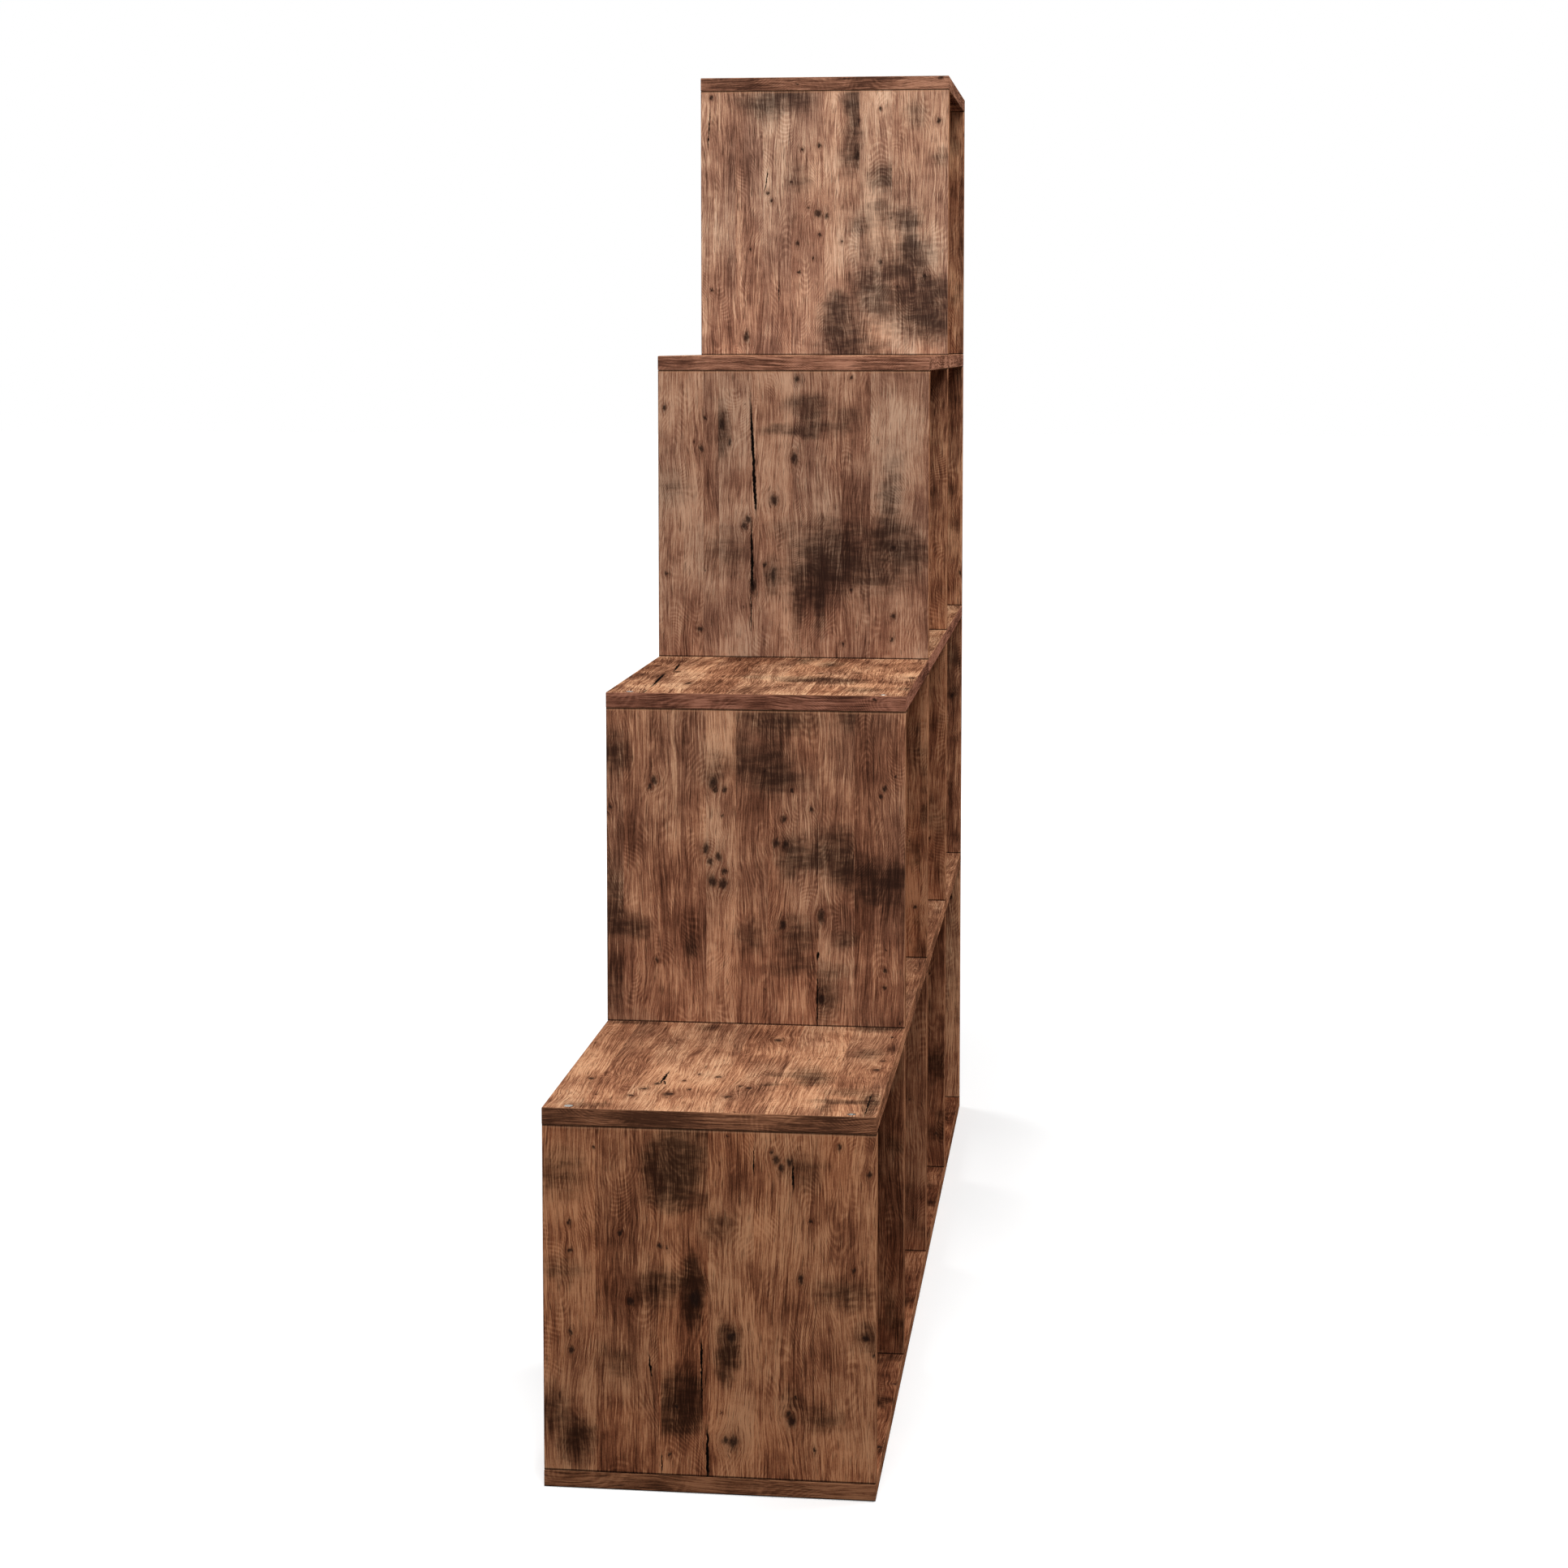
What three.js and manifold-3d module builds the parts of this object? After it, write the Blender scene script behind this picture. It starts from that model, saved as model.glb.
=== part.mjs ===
// Staircase bookshelf with ten open compartments, stacked 1, 2, 3 and 4 high from the low end to the tall end.
// Lengths are in millimetres and +Z is up. The origin lies on the floor under the middle of the shelf,
// +X runs from the low step to the tall end, and -Y is the front. The shelf has no back: it is open on both long sides.

import * as THREE from 'three';
import { mergeVertices } from 'three/addons/utils/BufferGeometryUtils.js';
import Module from 'manifold-3d';

const wasm = await Module();
wasm.setup();

// Carcass: one panel thickness throughout, every edge flush
const boardThickness = 16;
const shelfDepth = 300;
const compartmentWidth = 317;
const compartmentHeight = 317;
const stepCount = 4;
const arrisRadius = 1; // rounding of the banded edges
const arrisSegments = 2;

// Countersunk wood screws, driven through a board into the end of an upright
const screwLength = 50;
const screwShankDiameter = 4.2;
const screwTipLength = 5;
const screwHeadDiameter = 8;
const screwHeadRim = 0.5;
const screwHeadCone = 2;
const screwHeadSink = 0.2; // the head lies this far under the face of the board
const screwEdgeInset = 23; // from the long edges to the screw's axis

// Cross recess in the screw head
const recessSpan = 4.6;
const recessArmWidth = 1.1;
const recessDepth = 1.8;
const recessFloorShare = 0.4; // the recess narrows to this share of its mouth

// Wooden dowels, glued into the feet of the uprights that stand on another level
const dowelDiameter = 8;
const dowelProjection = 9;
const dowelChamfer = 1;
const dowelSpacing = 32; // from the screw's axis to the dowel's

// Clearances and the overrun that every cut shares
const screwClearance = 0.3;
const dowelClearance = 0.3;
const boreEndClearance = 1;
const cutOverrun = 2;
const roundSegments = 10;

// Sizes in single precision, as vertices are stored, so that faces that meet share one plane
const thickness = Math.fround(boardThickness);
const storeyPitch = thickness + Math.fround(compartmentHeight);
const columnPitch = boardThickness + compartmentWidth;
const overallLength = stepCount * columnPitch + boardThickness;

const fastenerRows = [
  { side: 'front', screwY: screwEdgeInset, dowelY: screwEdgeInset + dowelSpacing },
  { side: 'back', screwY: shelfDepth - screwEdgeInset, dowelY: shelfDepth - screwEdgeInset - dowelSpacing },
];

// Turns a closed geometry into a solid: shared vertices merged, collapsed triangles dropped
function solidFrom(geometry) {
  geometry.deleteAttribute('normal');
  geometry.deleteAttribute('uv');
  const merged = mergeVertices(geometry);
  const index = merged.index.array;
  const triangles = [];
  for (let i = 0; i < index.length; i += 3) {
    const [a, b, c] = [index[i], index[i + 1], index[i + 2]];
    if (a !== b && b !== c && c !== a) triangles.push(a, b, c);
  }
  const vertProperties = new Float32Array(merged.attributes.position.array);
  return new wasm.Manifold(new wasm.Mesh({ numProp: 3, vertProperties, triVerts: new Uint32Array(triangles) }));
}

function geometryFrom(solid) {
  const { vertProperties, triVerts } = solid.getMesh();
  const indexed = new THREE.BufferGeometry();
  indexed.setAttribute('position', new THREE.BufferAttribute(vertProperties, 3));
  indexed.setIndex(new THREE.BufferAttribute(triVerts, 1));
  const geometry = indexed.toNonIndexed();
  geometry.computeVertexNormals();
  return geometry;
}

// Revolves [radius, height] points, listed from the bottom up, about the Z axis
function turned(profile) {
  const points = profile.map(([radius, height]) => new THREE.Vector2(radius, height));
  const geometry = new THREE.LatheGeometry(points, roundSegments);
  return solidFrom(geometry.rotateX(Math.PI / 2));
}

function woodMaterial() {
  return new THREE.MeshStandardMaterial({ color: '#7d5840', roughness: 0.62, metalness: 0 });
}

function steelMaterial() {
  return new THREE.MeshStandardMaterial({ color: '#bdbbb4', roughness: 0.35, metalness: 1 });
}

// Hole for a screw through a board, from its far face at zero up to the face that takes the head
function screwHole() {
  const boreRadius = screwShankDiameter / 2 + screwClearance;
  const headRadius = screwHeadDiameter / 2 + screwClearance;
  const coneTop = boardThickness - screwHeadSink - screwHeadRim;
  return turned([
    [0, -cutOverrun],
    [boreRadius, -cutOverrun],
    [boreRadius, coneTop - screwHeadCone],
    [headRadius, coneTop],
    [headRadius, boardThickness + cutOverrun],
    [0, boardThickness + cutOverrun],
  ]);
}

// Blind hole that opens upwards at zero
function blindHole(radius, depth) {
  return turned([
    [0, -depth],
    [radius, -depth],
    [radius, cutOverrun],
    [0, cutOverrun],
  ]);
}

function pilotBore() {
  const depth = screwLength + screwHeadSink - boardThickness + boreEndClearance;
  return blindHole(screwShankDiameter / 2 + screwClearance, depth);
}

function dowelHole() {
  return blindHole(dowelDiameter / 2 + dowelClearance, dowelProjection + boreEndClearance);
}

// Dowel end that stands out below zero, with its root sunk in the upright above
function dowelEnd() {
  const radius = dowelDiameter / 2;
  return turned([
    [0, -dowelProjection],
    [radius - dowelChamfer, -dowelProjection],
    [radius, dowelChamfer - dowelProjection],
    [radius, cutOverrun],
    [0, cutOverrun],
  ]);
}

// Flat board from zero along X and Y, its edges rounded above and below
function boardBlank(length) {
  const outline = new THREE.Shape();
  outline.moveTo(0, 0);
  outline.lineTo(length, 0);
  outline.lineTo(length, shelfDepth);
  outline.lineTo(0, shelfDepth);
  outline.closePath();
  const geometry = new THREE.ExtrudeGeometry(outline, {
    depth: thickness - 2 * arrisRadius,
    bevelThickness: arrisRadius,
    bevelSize: arrisRadius,
    bevelOffset: -arrisRadius,
    bevelSegments: arrisSegments,
  });
  return solidFrom(geometry.translate(0, 0, arrisRadius));
}

// Upright panel on zero, its four standing edges rounded and its ends cut square
function uprightBlank() {
  const [right, back, r] = [boardThickness, shelfDepth, arrisRadius];
  const outline = new THREE.Shape();
  outline.moveTo(r, 0);
  outline.absarc(right - r, r, r, -Math.PI / 2, 0);
  outline.absarc(right - r, back - r, r, 0, Math.PI / 2);
  outline.absarc(r, back - r, r, Math.PI / 2, Math.PI);
  outline.absarc(r, r, r, Math.PI, Math.PI * 1.5);
  const options = { depth: compartmentHeight, bevelEnabled: false, curveSegments: arrisSegments };
  return solidFrom(new THREE.ExtrudeGeometry(outline, options));
}

// Board of one level: holes for the screws of the uprights on one side, blind holes for the dowels on the other
function boardSolid(level) {
  const firstColumn = Math.max(level - 1, 0);
  const isBottom = level === 0;
  const isTop = level === stepCount;
  const columnX = (column) => (column - firstColumn) * columnPitch + boardThickness / 2;
  let board = boardBlank((stepCount - firstColumn) * columnPitch + boardThickness);
  const hole = isBottom ? screwHole().rotate([180, 0, 0]).translate([0, 0, boardThickness]) : screwHole();
  for (let column = firstColumn; column <= stepCount; column += 1) {
    for (const { screwY, dowelY } of fastenerRows) {
      board = board.subtract(hole.translate([columnX(column), screwY, 0]));
      if (isBottom || isTop || column < level) continue;
      board = board.subtract(dowelHole().translate([columnX(column), dowelY, boardThickness]));
    }
  }
  return board;
}

// Upright of one level: pilot bores in its top end, and in its foot either bores too or glued dowels
function uprightSolid(level) {
  const middleX = boardThickness / 2;
  let upright = uprightBlank();
  for (const { screwY, dowelY } of fastenerRows) {
    upright = upright.subtract(pilotBore().translate([middleX, screwY, compartmentHeight]));
    if (level === 1) {
      upright = upright.subtract(pilotBore().rotate([180, 0, 0]).translate([middleX, screwY, 0]));
    } else {
      upright = upright.add(dowelEnd().translate([middleX, dowelY, 0]));
    }
  }
  return upright;
}

// Cross-shaped recess that opens upwards at zero and narrows towards its floor
function crossRecess() {
  const [reach, half] = [recessSpan / 2, recessArmWidth / 2];
  const arm = [[reach, -half], [reach, half], [half, half]];
  const cross = new THREE.Shape();
  for (let quarter = 0; quarter < 4; quarter += 1) {
    for (const [x, y] of arm) {
      const point = new THREE.Vector2(x, y).rotateAround(new THREE.Vector2(), quarter * Math.PI / 2);
      if (quarter === 0 && x === reach && y === -half) cross.moveTo(point.x, point.y);
      else cross.lineTo(point.x, point.y);
    }
  }
  const geometry = new THREE.ExtrudeGeometry(cross, { depth: recessDepth + cutOverrun, bevelEnabled: false });
  geometry.translate(0, 0, -recessDepth);
  const position = geometry.attributes.position;
  for (let i = 0; i < position.count; i += 1) {
    if (position.getZ(i) > 0) continue;
    position.setXY(i, position.getX(i) * recessFloorShare, position.getY(i) * recessFloorShare);
  }
  return solidFrom(geometry);
}

// Screw with the face of its head at zero and its point downwards
function screwSolid() {
  const shankRadius = screwShankDiameter / 2;
  const headRadius = screwHeadDiameter / 2;
  const body = turned([
    [0, -screwLength],
    [shankRadius, screwTipLength - screwLength],
    [shankRadius, -screwHeadRim - screwHeadCone],
    [headRadius, -screwHeadRim],
    [headRadius, 0],
    [0, 0],
  ]);
  return body.subtract(crossRecess());
}

function placedMesh(name, geometry, material, x, y, z) {
  const mesh = new THREE.Mesh(geometry, material);
  mesh.name = name;
  mesh.position.set(x, y, z);
  return mesh;
}

const boardNames = ['bottom_board', 'shelf_board_1', 'shelf_board_2', 'shelf_board_3', 'top_board'];

function addBoard(parent, level) {
  const x = Math.max(level - 1, 0) * columnPitch;
  const geometry = geometryFrom(boardSolid(level));
  parent.add(placedMesh(boardNames[level], geometry, woodMaterial(), x, 0, level * storeyPitch));
}

function addUprights(parent, level) {
  const foot = (level - 1) * storeyPitch + thickness;
  const geometry = geometryFrom(uprightSolid(level));
  for (let column = level - 1; column <= stepCount; column += 1) {
    const name = `upright_${level}_${column + 1}`;
    parent.add(placedMesh(name, geometry, woodMaterial(), column * columnPitch, 0, foot));
  }
}

// Screws down through the board over one level, into the top ends of its uprights
function addTopScrews(parent, level, geometry) {
  const z = level * storeyPitch + boardThickness - screwHeadSink;
  for (let column = level - 1; column <= stepCount; column += 1) {
    for (const { side, screwY } of fastenerRows) {
      const x = column * columnPitch + boardThickness / 2;
      parent.add(placedMesh(`screw_${level}_${column + 1}_${side}`, geometry, steelMaterial(), x, screwY, z));
    }
  }
}

// Screws up through the bottom board, into the feet of the lowest uprights
function addBaseScrews(parent, geometry) {
  for (let column = 0; column <= stepCount; column += 1) {
    for (const { side, screwY } of fastenerRows) {
      const x = column * columnPitch + boardThickness / 2;
      const name = `base_screw_${column + 1}_${side}`;
      const screw = placedMesh(name, geometry, steelMaterial(), x, screwY, screwHeadSink);
      screw.rotation.x = Math.PI;
      parent.add(screw);
    }
  }
}

function buildBookshelf() {
  const shelf = new THREE.Group();
  shelf.position.set(-overallLength / 2, -shelfDepth / 2, 0);
  const screwGeometry = geometryFrom(screwSolid());
  addBoard(shelf, 0);
  addBaseScrews(shelf, screwGeometry);
  for (let level = 1; level <= stepCount; level += 1) {
    addUprights(shelf, level);
    addBoard(shelf, level);
    addTopScrews(shelf, level, screwGeometry);
  }
  const model = new THREE.Group();
  model.add(shelf);
  return model;
}

export default buildBookshelf();
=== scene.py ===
import math
import random
import bmesh
import bpy
from mathutils import Matrix, Vector


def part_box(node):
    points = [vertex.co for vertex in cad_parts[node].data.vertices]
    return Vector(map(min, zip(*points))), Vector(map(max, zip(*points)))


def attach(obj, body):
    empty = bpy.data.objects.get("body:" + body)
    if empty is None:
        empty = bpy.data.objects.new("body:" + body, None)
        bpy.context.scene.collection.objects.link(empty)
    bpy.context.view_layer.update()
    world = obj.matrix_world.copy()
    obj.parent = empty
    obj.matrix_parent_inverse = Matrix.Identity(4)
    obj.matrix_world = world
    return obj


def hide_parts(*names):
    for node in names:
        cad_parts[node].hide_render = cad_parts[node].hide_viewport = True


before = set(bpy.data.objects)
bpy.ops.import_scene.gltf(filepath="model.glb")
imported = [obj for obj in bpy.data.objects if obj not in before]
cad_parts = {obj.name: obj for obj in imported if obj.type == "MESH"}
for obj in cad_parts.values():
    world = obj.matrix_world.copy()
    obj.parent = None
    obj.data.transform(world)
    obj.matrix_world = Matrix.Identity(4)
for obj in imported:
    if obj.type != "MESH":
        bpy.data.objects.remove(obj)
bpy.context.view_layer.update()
print("frame loaded:", len(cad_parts), "nodes")

millimetre = 0.001
perMetre = 1000.0  # millimetres
quarterTurn = math.pi / 2
fullTurn = math.pi * 2


def srgb(red, green, blue):
    parts = [c / 255 for c in (red, green, blue)]
    return [p / 12.92 if p <= 0.04045 else ((p + 0.055) / 1.055) ** 2.4 for p in parts] + [1]


# camera: stands off the low end, a little to the front of it
view = {
    "place": (-3.1539, -0.3575, 1.0265),  # metres
    "yaw": 6.66,  # degrees, turned from +X towards +Y
    "pitch": -4.756,
    "lens": 66.09,
    "sensor": 36,
    "shift": -0.127,
}


def show(piece):
    bpy.context.scene.collection.objects.link(piece)


def addCamera():
    data = bpy.data.cameras.new("camera")
    data.lens = view["lens"]
    data.sensor_width = view["sensor"]
    data.shift_y = view["shift"]
    data.clip_end = 100
    camera = bpy.data.objects.new("camera", data)
    yaw, pitch = math.radians(view["yaw"]), math.radians(view["pitch"])
    forward = Vector((math.cos(yaw) * math.cos(pitch), math.sin(yaw) * math.cos(pitch), math.sin(pitch)))
    camera.location = view["place"]
    camera.rotation_euler = forward.to_track_quat("-Z", "Y").to_euler()
    show(camera)
    bpy.context.scene.camera = camera


addCamera()
print("camera set")


# small helpers for node trees: a value is either a socket to join or a number to type in
def feed(tree, socket, value):
    if isinstance(value, bpy.types.NodeSocket):
        tree.links.new(value, socket)
    else:
        socket.default_value = value


def calc(tree, operation, *values):
    node = tree.nodes.new("ShaderNodeMath")
    node.operation = operation
    for socket, value in zip(node.inputs, values):
        feed(tree, socket, value)
    return node.outputs[0]


def times(tree, first, second):
    return calc(tree, "MULTIPLY", first, second)


def vecCalc(tree, operation, *values):
    node = tree.nodes.new("ShaderNodeVectorMath")
    node.operation = operation
    for socket, value in zip(node.inputs, values):
        feed(tree, socket, value)
    return node.outputs["Value" if operation in ("LENGTH", "DOT_PRODUCT") else "Vector"]


def vecScale(tree, vector, factor):
    node = tree.nodes.new("ShaderNodeVectorMath")
    node.operation = "SCALE"
    feed(tree, node.inputs["Vector"], vector)
    feed(tree, node.inputs["Scale"], factor)
    return node.outputs["Vector"]


# a smooth step stays inside its range by itself, so only a straight one is clamped
def fade(tree, value, low, high, toLow=0.0, toHigh=1.0, kind="SMOOTHSTEP"):
    node = tree.nodes.new("ShaderNodeMapRange")
    node.interpolation_type = kind
    node.clamp = kind == "LINEAR"
    names = ("Value", "From Min", "From Max", "To Min", "To Max")
    for name, number in zip(names, (value, low, high, toLow, toHigh)):
        feed(tree, node.inputs[name], number)
    return node.outputs["Result"]


def centred(tree, value):
    return calc(tree, "SUBTRACT", value, 0.5)


def split(tree, vector):
    node = tree.nodes.new("ShaderNodeSeparateXYZ")
    feed(tree, node.inputs[0], vector)
    return node.outputs[0], node.outputs[1], node.outputs[2]


def join(tree, x, y, z):
    node = tree.nodes.new("ShaderNodeCombineXYZ")
    for socket, value in zip(node.inputs, (x, y, z)):
        feed(tree, socket, value)
    return node.outputs[0]


def mixValue(tree, factor, a, b):
    node = tree.nodes.new("ShaderNodeMix")
    node.data_type = "FLOAT"
    feed(tree, node.inputs[0], factor)
    feed(tree, node.inputs[2], a)
    feed(tree, node.inputs[3], b)
    return node.outputs[0]


def mixColour(tree, factor, a, b, kind="MIX"):
    node = tree.nodes.new("ShaderNodeMix")
    node.data_type = "RGBA"
    node.blend_type = kind
    feed(tree, node.inputs[0], factor)
    feed(tree, node.inputs[6], a)
    feed(tree, node.inputs[7], b)
    return node.outputs[2]


def noise(tree, vector, stretch, detail=2.0, roughness=0.5, output="Factor"):
    node = tree.nodes.new("ShaderNodeTexNoise")
    node.noise_dimensions = "3D"
    feed(tree, node.inputs["Vector"], vecCalc(tree, "MULTIPLY", vector, stretch))
    node.inputs["Scale"].default_value = 1
    node.inputs["Detail"].default_value = detail
    node.inputs["Roughness"].default_value = roughness
    return node.outputs[0 if output == "Factor" else 1]


def colourRamp(tree, value, stops, kind="LINEAR"):
    node = tree.nodes.new("ShaderNodeValToRGB")
    node.color_ramp.interpolation = kind
    elements = node.color_ramp.elements
    while len(elements) > 1:
        elements.remove(elements[-1])
    for index, (position, colour) in enumerate(stops):
        element = elements[0] if index == 0 else elements.new(position)
        element.position = position
        element.color = colour
    feed(tree, node.inputs[0], value)
    return node.outputs[0]


# a node group: the kind of an input follows from its first value, and None stands for a vector
def newGroup(name, inputs, outputs):
    tree = bpy.data.node_groups.new(name, "ShaderNodeTree")
    for label, value in inputs.items():
        kind = "Vector" if value is None else "Color" if isinstance(value, tuple) else "Float"
        socket = tree.interface.new_socket(name=label, in_out="INPUT", socket_type="NodeSocket" + kind)
        if value is not None:
            socket.default_value = value
    for label, kind in outputs.items():
        tree.interface.new_socket(name=label, in_out="OUTPUT", socket_type="NodeSocket" + kind)
    source = tree.nodes.new("NodeGroupInput").outputs
    target = tree.nodes.new("NodeGroupOutput").inputs
    return tree, source, target


def useGroup(tree, group, **values):
    node = tree.nodes.new("ShaderNodeGroup")
    node.node_tree = group
    for name, value in values.items():
        feed(tree, node.inputs[name], value)
    return node.outputs


def newMaterial(name):
    material = bpy.data.materials.new(name)
    material.use_nodes = True
    tree = material.node_tree
    return material, tree, tree.nodes["Principled BSDF"]


# a bump for a shader: what comes back is the socket that takes its height
def addBump(tree, shader, strength, distance):
    node = tree.nodes.new("ShaderNodeBump")
    node.inputs["Strength"].default_value = strength
    node.inputs["Distance"].default_value = distance
    tree.links.new(node.outputs["Normal"], shader.inputs["Normal"])
    return node.inputs["Height"]


# oak foil: every length in millimetres
oak = {
    "boardDepth": 300,
    "uprightHeight": 317,
    "seedStep": (37.0, 913.0, 5.3),  # how far one seed shifts the pattern
    "staveShift": 400,  # how far one stave's pattern is slid along it
    "staveSink": 90.0,  # and into the board
    "staveWidth": (32, 58),  # where no list gives the staves
    "lastStave": 265,  # none starts further across than this
    "sideStep": 0.12,  # how fast the pattern changes into the board
    "bias": 0.558,  # mean shade
    "fibre": 1.0,  # contrast of each layer
    "hair": 1.4,
    "speck": 0.22,
    "streak": 0.58,
    "cloud": 1.05,
    "ripple": 0.16,
    "figure": 0.10,
    "stave": 0.24,
}


# one noise of the foil, from its scales across and along the grain per millimetre, octaves and roughness
def foilNoise(tree, vector, scales, output="Factor"):
    across, along, octaves, roughness = scales
    return noise(tree, vector, (across, along, oak["sideStep"]), octaves, roughness, output)


lie = {
    "longEdge": 5000.0,  # how far off the banding takes its pattern, so that it isn't the face's
    "endEdge": 9000.0,
    "bandFrom": 0.5,  # where less of the normal than this points out of the face, it is banding
    "arris": (0.99, 0.85),  # the normal's largest part, from flat to rounded
}


# where a point of the foil lies: across the grain from the back edge, along it, and how deep in the piece
def makePlaneGroup():
    outputs = dict(Place="Vector", Band="Float", Arris="Float")
    tree, source, out = newGroup("oakPlane", dict(Lay=0.0), outputs)
    lay = source["Lay"]
    coordinates = tree.nodes.new("ShaderNodeTexCoord")
    geometry = tree.nodes.new("ShaderNodeNewGeometry")
    x, y, z = split(tree, vecScale(tree, coordinates.outputs["Object"], perMetre))
    nx, ny, nz = split(tree, vecCalc(tree, "ABSOLUTE", geometry.outputs["Normal"]))
    alongFace = mixValue(tree, lay, z, x)
    depthFace = mixValue(tree, lay, x, z)
    band = calc(tree, "LESS_THAN", mixValue(tree, lay, nx, nz), lie["bandFrom"])
    endEdge = times(tree, lay, times(tree, band, calc(tree, "GREATER_THAN", nx, ny)))
    fromBack = calc(tree, "SUBTRACT", oak["boardDepth"] / 2, y)
    across = mixValue(tree, band, fromBack, depthFace)
    along = mixValue(tree, endEdge, alongFace, y)
    longDepth = calc(tree, "ADD", y, lie["longEdge"])
    endDepth = calc(tree, "ADD", x, lie["endEdge"])
    bandDepth = mixValue(tree, endEdge, longDepth, endDepth)
    depth = mixValue(tree, band, depthFace, bandDepth)
    widest = calc(tree, "MAXIMUM", nx, calc(tree, "MAXIMUM", ny, nz))
    feed(tree, out["Place"], join(tree, across, along, depth))
    feed(tree, out["Band"], band)
    feed(tree, out["Arris"], fade(tree, widest, *lie["arris"]))
    return tree


# a knot's reaches are in its own radii
knots = {
    "flow": (0.0, 3.4, 0.62, 0.0),  # how far the grain is pushed aside, from the middle outwards
    "ringsPerRadius": 7.0,
    "ringDepth": 0.22,
    "coreRings": 0.5,  # how much the rings show in the core
    "core": (1.1, 0.55),
    "halo": (3.0, 0.9),
    "stretch": 1.25,  # how many times longer than wide, where the list doesn't say
    "shrink": 0.8,  # a listed radius, beside the one its pattern is built on
}


# what every knot does: the grain flows round it, its core is dark and faint rings lie about it
def knotMarks(tree, source, out, away, reach):
    push = fade(tree, reach, *knots["flow"])
    sideways = vecCalc(tree, "MULTIPLY", away, (-1.0, 0.0, 0.0))
    moved = vecCalc(tree, "ADD", source["Vector"], vecScale(tree, sideways, push))
    wave = calc(tree, "SINE", times(tree, reach, knots["ringsPerRadius"]))
    rings = calc(tree, "MULTIPLY_ADD", wave, knots["ringDepth"], 1 - knots["ringDepth"])
    feed(tree, out["Vector"], moved)
    inner = fade(tree, reach, *knots["core"])
    ringed = calc(tree, "MULTIPLY_ADD", rings, knots["coreRings"], 1 - knots["coreRings"])
    core = times(tree, inner, ringed)
    feed(tree, out["Core"], calc(tree, "MAXIMUM", source["Core"], core))
    halo = times(tree, fade(tree, reach, *knots["halo"]), rings)
    feed(tree, out["Halo"], calc(tree, "MAXIMUM", source["Halo"], halo))


def makeKnotGroup():
    inputs = dict(Vector=None, Place=None, Core=0.0, Halo=0.0, Spot=None, Shrink=None)
    tree, source, out = newGroup("oakKnot", inputs, dict(Vector="Vector", Core="Float", Halo="Float"))
    away = vecCalc(tree, "SUBTRACT", source["Place"], source["Spot"])
    reach = vecCalc(tree, "LENGTH", vecCalc(tree, "MULTIPLY", away, source["Shrink"]))
    knotMarks(tree, source, out, away, reach)
    return tree


wildKnots = {
    "cell": (62.0, 88.0),  # one knot at most in each
    "sideShift": 20.0,
    "seedShift": 371.0,
    "without": 0.35,  # the share of cells with hardly any
    "radius": (0.05, 4.6),
    "least": 0.02,
    "squash": (1.0, 0.45),
    "amongListed": 0.45,  # their size beside listed knots
}


# small knots strewn over every face, and larger ones where no list describes the knots
def makeWildKnotGroup():
    inputs = dict(Vector=None, Place=None, Core=0.0, Halo=0.0, Amount=1.0, Seed=0.0)
    tree, source, out = newGroup("oakWildKnots", inputs, dict(Vector="Vector", Core="Float", Halo="Float"))
    cell = wildKnots["cell"]
    x, y, z = split(tree, source["Place"])
    seeded = times(tree, source["Seed"], wildKnots["seedShift"])
    shift = calc(tree, "MULTIPLY_ADD", z, wildKnots["sideShift"], seeded)
    u = calc(tree, "DIVIDE", x, cell[0])
    v = calc(tree, "DIVIDE", calc(tree, "ADD", y, shift), cell[1])
    voronoi = tree.nodes.new("ShaderNodeTexVoronoi")
    voronoi.voronoi_dimensions = "2D"
    voronoi.feature = "F1"
    voronoi.inputs["Scale"].default_value = 1
    feed(tree, voronoi.inputs["Vector"], join(tree, u, v, 0.0))
    away = vecCalc(tree, "SUBTRACT", join(tree, u, v, 0.0), voronoi.outputs["Position"])
    away = vecCalc(tree, "MULTIPLY", away, (cell[0], cell[1], 0.0))
    chance = split(tree, voronoi.outputs["Color"])
    radius = fade(tree, chance[0], wildKnots["without"], 1.0, *wildKnots["radius"], "LINEAR")
    size = times(tree, radius, source["Amount"])
    size = calc(tree, "MAXIMUM", size, wildKnots["least"])
    longer = fade(tree, chance[1], 0.0, 1.0, *wildKnots["squash"], "LINEAR")
    shape = vecCalc(tree, "MULTIPLY", away, join(tree, 1.0, longer, 0.0))
    reach = calc(tree, "DIVIDE", vecCalc(tree, "LENGTH", shape), size)
    knotMarks(tree, source, out, away, reach)
    return tree


stains = {
    "rim": 2.3,  # in half widths: where a cloud ends and where it is darkest
    "core": 0.0,
    "crackRim": 1.4,
    "crackCore": 0.7,
    "uncut": 9999.0,
}


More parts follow.
